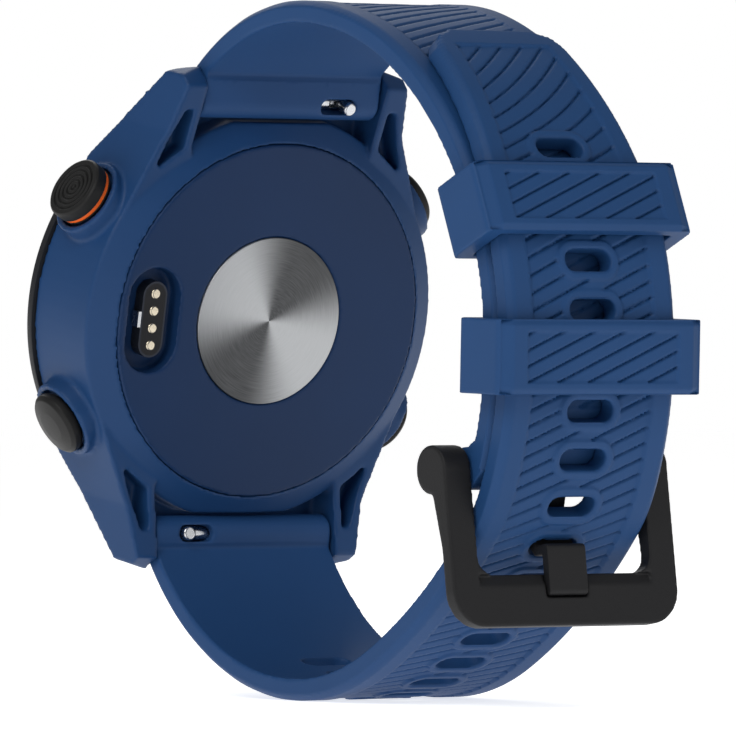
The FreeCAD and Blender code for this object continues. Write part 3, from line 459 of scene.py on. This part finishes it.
def shapeStrap(piece, path, panel, holes=None, thick=2.2, strength=1.0):
    points, normals = readPoints(piece.data)
    along, over, outward, found, length = followPath(points, path)
    up = (normals * outward).sum(1)
    across = points[:, 0]
    # the strap's own half width at each place, read from the mesh
    bins = np.clip((along / 0.5).astype(int), 0, int(length / 0.5) + 1)
    widest = np.zeros(bins.max() + 1)
    np.maximum.at(widest, bins[found], np.abs(across[found]))
    widest[widest == 0] = 10.0
    kernel = np.ones(5) / 5
    widest = np.convolve(np.pad(widest, 2, mode="edge"), kernel, "valid")
    half = widest[bins]
    edge = half - np.abs(across)
    height = -0.8 * np.clip(ribbing["chamfer"] - edge, 0, ribbing["chamfer"])
    fromTip = length - along
    inset = panel(along, fromTip, half) - np.abs(across)
    lengthways = np.minimum(along - panel.start, fromTip - panel.end)
    room = ease(np.minimum(inset, lengthways), 0.0, 0.22)
    if holes:
        rows = [holes["tip"]] + [holes["first"] + i * holes["pitch"] for i in range(holes["count"])]
        gap = np.full(len(points), 99.0)
        for place in rows:
            run = np.clip(np.abs(across) - holes["halfRun"], 0, None)
            gap = np.minimum(gap, np.hypot(run, fromTip - place) - holes["half"])
        room = room * ease(gap, holes["rim"], holes["rim"] + 0.2)
        height = height - holes["dip"] * (1 - ease(gap, 0.0, holes["dipRun"]))
    phase = ribPhase(fromTip, across) if holes else evenPhase(-along, across)
    height = height + room * strength * (louvres(phase) - ribbing["recess"])
    outerPull = ease(up, 0.55, 0.8) * found
    innerPull = ease(-up, 0.6, 0.85) * found
    side = (1 - ease(np.abs(up), 0.55, 0.8)) * found * (over > 0) * (edge < 0.5) * (over < 1.4)
    move = outerPull * (thick / 2 + height - over) + innerPull * (-thick / 2 - over)
    move = move - side * over * 0.5
    move = np.clip(move, -1.0, 0.35)
    points = points + outward * move[:, None]
    writePoints(piece.data, points)


class Panel:
    def __init__(self, start, end, tipHalf, taper):
        self.start = start
        self.end = end
        self.tipHalf = tipHalf
        self.taper = taper

    def __call__(self, along, fromTip, half):
        # the ribbed panel keeps inside the strap, narrower towards the tip
        share = ease(fromTip, 0, self.taper)
        return self.tipHalf + (ribbing["panelHalf"] - self.tipHalf) * share


tailStrap = remeshed("tail_strap", "tailStrap", 0.2)
shapeStrap(tailStrap, tailPath, Panel(9.0, 2.6, 5.6, 26.0), tailHoles)
thinned(tailStrap, 195000)
finishPiece(tailStrap, strapLook, "watch", ["tail_strap"], 60)
buckleStrap = remeshed("buckle_strap", "buckleStrap", 0.2)
shapeStrap(buckleStrap, bucklePath, Panel(14.5, 6.0, 7.3, 10.0), strength=0.7)
thinned(buckleStrap, 150000)
finishPiece(buckleStrap, strapLook, "watch", ["buckle_strap"], 60)
print("straps made")


# Keepers: bevelled front with a sunk ribbed panel
keeperForm = {"centre": (-0.238, 35.336), "front": 36.90, "half": 12.2, "panelHalf": 9.1, "panelRise": 2.55}


def shapeKeeper(name, node, turn):
    piece = remeshed(node, name, 0.16)
    points, normals = readPoints(piece.data)
    cy, cz = keeperForm["centre"]
    out = np.array([0, math.cos(math.radians(turn)), math.sin(math.radians(turn))])
    up = np.array([0, -out[2], out[1]])
    local = points - np.array([0, cy, cz])
    reach = local @ out
    rise = local @ up
    across = points[:, 0]
    front = ease(normals @ out, 0.55, 0.85) * (reach > keeperForm["front"] - 0.8)
    inset = np.minimum(keeperForm["panelHalf"] - np.abs(across), keeperForm["panelRise"] - np.abs(rise))
    room = ease(inset, 0, 0.2)
    edge = 3.65 - np.abs(rise)
    sideEdge = keeperForm["half"] - np.abs(across)
    height = -0.7 * np.clip(0.55 - edge, 0, 1) - 0.55 * np.clip(1.5 - sideEdge, 0, 1.5)
    height = height + room * (louvres(evenPhase(rise, across)) - 0.12)
    move = front * (keeperForm["front"] + height - reach)
    points = points + out * np.clip(move, -1.0, 0.2)[:, None]
    writePoints(piece.data, points)
    thinned(piece, 90000)
    return finishPiece(piece, strapLook, node, [node], 60)


shapeKeeper("upperKeeper", "upper_keeper", 23.2)
shapeKeeper("lowerKeeper", "lower_keeper", -1.9)
print("keepers made")


# Case, cover and buckle: even copies with softened edges
def softened(node, name, voxel, look, body, passes=3, most=190000):
    piece = remeshed(node, name, voxel, passes)
    thinned(piece, most)
    return finishPiece(piece, look, body, [node], 50)


softened("case_body", "caseBody", 0.22, caseLook, "watch")
softened("buckle_frame", "buckleFrame", 0.15, buckleLook, "buckle", 5, 120000)
softened("buckle_tongue", "buckleTongue", 0.09, buckleLook, "tongue", 4, 40000)
softened("back_cover", "backCover", 0.2, coverLook, "watch", 1, 150000)
print("case and buckle made")


# Turned pieces of the head
turnedPiece("bezelRing", [
    (18.45, 10.45), (17.4, 10.45), (17.4, 9.9), (20.35, 9.9), (20.35, 10.7), (21.85, 10.7),
    (21.85, 11.5), (21.25, 12.1), (19.0, 12.1), (18.45, 11.5),
], headFrame, bezelLook, "watch", ["bezel_ring"], 0.12, 224)
turnedPiece("lens", [
    (0, 10.45), (18.4, 10.45), (18.4, 11.45), (17.8, 11.75), (0, 11.75),
], headFrame, lensLook, "watch", ["lens"], 0.12, 192)
turnedPiece("backPlate", [
    (0, 0.05), (8.55, 0.05), (8.6, 0.1), (8.6, 0.47), (0, 0.47),
], headFrame, plateLook, "watch", ["back_plate"], 0.06, 192)

# Buttons
buttonSpots = {"start": 30.5, "back": -30.5, "light": 149.5, "page": 210.5}
ringGrooves = {"count": 5, "pitch": 0.56, "top": 24.6, "low": 24.42}


def buttonFrame(turn):
    lift = Matrix.Translation(Vector((0, 0, 6.5 * mm)))
    spin = Matrix.Rotation(math.radians(turn), 4, "Z")
    tipOver = Matrix.Rotation(math.radians(90), 4, "Y")
    return headFrame @ lift @ spin @ tipOver


def capProfile():
    # the hidden foot is relieved, so that it clears the rounded floor of its well when pressed
    foot = [(0, 22.3), (2.85, 22.3), (3.24, 22.7), (3.3, 23.0)]
    return foot + [(3.3, 23.5), (2.95, 23.85), (1.65, 24.11), (0, 24.2)]


def startProfile():
    top = ringGrooves["top"]
    low = ringGrooves["low"]
    profile = [(0, 22.3), (2.85, 22.3), (3.24, 22.65), (3.24, 22.8), (2.85, 22.8), (2.85, 23.25)]
    profile += [(3.3, 23.25), (3.3, 24.4), (3.1, top)]
    for i in range(ringGrooves["count"], 0, -1):
        middle = ringGrooves["pitch"] * (i - 0.5)
        for side, rise in ((0.15, top), (0.08, low), (-0.08, low), (-0.15, top)):
            profile.append((middle + side, rise))
    return profile + [(0, top)]


for name, turn in buttonSpots.items():
    profile = startProfile() if name == "start" else capProfile()
    turnedPiece(name + "ButtonCap", profile, buttonFrame(turn), capLook, name + "_button",
                [name + "_button_cap"], 0.1 if name != "start" else 0.05, 96)
turnedPiece("accentRing", [
    (2.85, 22.8), (3.2, 22.8), (3.2, 23.25), (2.85, 23.25),
], buttonFrame(buttonSpots["start"]), orangeLook, "start_button", ["accent_ring"],
    0.08, 96)
print("head pieces made")

# Pieces carried over from the parts
carried = {
    "back_gasket": sealLook, "port_block": blackLook, "port_contacts": goldLook, "port_rim": rimLook,
    "port_detent": steelLook, "port_lead": leadLook,
    "display_panel": displayLook, "backlight_sheet": sheetLook,
    "inner_frame": innerLook, "antenna": copperLook, "main_board": boardLook, "board_screws": steelLook,
    "battery": foilLook, "beeper_disc": brassLook, "button_switches": blackLook, "button_seals": sealLook,
}
for name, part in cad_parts.items():
    if part.hide_render:
        continue
    part.data.materials.clear()
    part.data.materials.append(carried.get(name, steelLook))
print("carried pieces painted")


# Floor, light and camera
def makeStage():
    mesh = bpy.data.meshes.new("floor")
    mesh.from_pydata([(-3, -3, 0), (3, -3, 0), (3, 3, 0), (-3, 3, 0)], [], [(0, 1, 2, 3)])
    floor = bpy.data.objects.new("floor", mesh)
    bpy.context.scene.collection.objects.link(floor)
    sheet = Sheet("floorWhite")
    slow = sheet.noise(2.0, 2)
    sheet.feed("Base Color", sheet.mix(slow, (0.90, 0.90, 0.90), (0.93, 0.93, 0.93)))
    sheet.shader.inputs["Roughness"].default_value = 0.8
    sheet.shader.inputs["Emission Color"].default_value = (1, 1, 1, 1)
    sheet.shader.inputs["Emission Strength"].default_value = 0.72
    mesh.materials.append(sheet.material)


def addLight(name, spot, target, power, size):
    lamp = bpy.data.lights.new(name, "AREA")
    lamp.energy = power
    lamp.size = size
    light = bpy.data.objects.new(name, lamp)
    light.location = spot
    light.rotation_euler = (Vector(target) - Vector(spot)).to_track_quat("-Z", "Y").to_euler()
    bpy.context.scene.collection.objects.link(light)


makeStage()


def makeWorld():
    # soft light all round, with a white backdrop behind it
    world = bpy.data.worlds.new("studio")
    world.use_nodes = True
    tree = world.node_tree
    soft = tree.nodes["Background"]
    soft.inputs["Color"].default_value = (1, 1, 1, 1)
    soft.inputs["Strength"].default_value = 0.3
    backdrop = tree.nodes.new("ShaderNodeBackground")
    backdrop.inputs["Color"].default_value = (1, 1, 1, 1)
    backdrop.inputs["Strength"].default_value = 1.0
    rays = tree.nodes.new("ShaderNodeLightPath")
    blend = tree.nodes.new("ShaderNodeMixShader")
    tree.links.new(rays.outputs["Is Camera Ray"], blend.inputs[0])
    tree.links.new(soft.outputs[0], blend.inputs[1])
    tree.links.new(backdrop.outputs[0], blend.inputs[2])
    tree.links.new(blend.outputs[0], tree.nodes["World Output"].inputs["Surface"])
    bpy.context.scene.world = world
    bpy.context.scene.view_settings.view_transform = "Standard"


makeWorld()
aim = Vector((0, -3.1, 33.09)) * mm
azimuth = math.radians(35.02)
eye = aim + Vector((math.sin(azimuth), math.cos(azimuth), 0)) * 0.9
addLight("key", (0.45, 0.25, 0.45), aim, 1.9, 0.35)
addLight("fill", (-0.3, 0.6, 0.3), aim, 0.55, 0.5)
addLight("back", (-0.2, -0.5, 0.5), aim, 1.1, 0.4)
camera = bpy.data.cameras.new("camera")
camera.lens = 8991 / 736 * 36
camera.sensor_width = 36
camera.clip_start = 0.05
cameraPiece = bpy.data.objects.new("camera", camera)
cameraPiece.location = eye
cameraPiece.rotation_euler = (aim - eye).to_track_quat("-Z", "Y").to_euler()
bpy.context.scene.collection.objects.link(cameraPiece)
bpy.context.scene.camera = cameraPiece
print("camera placed")
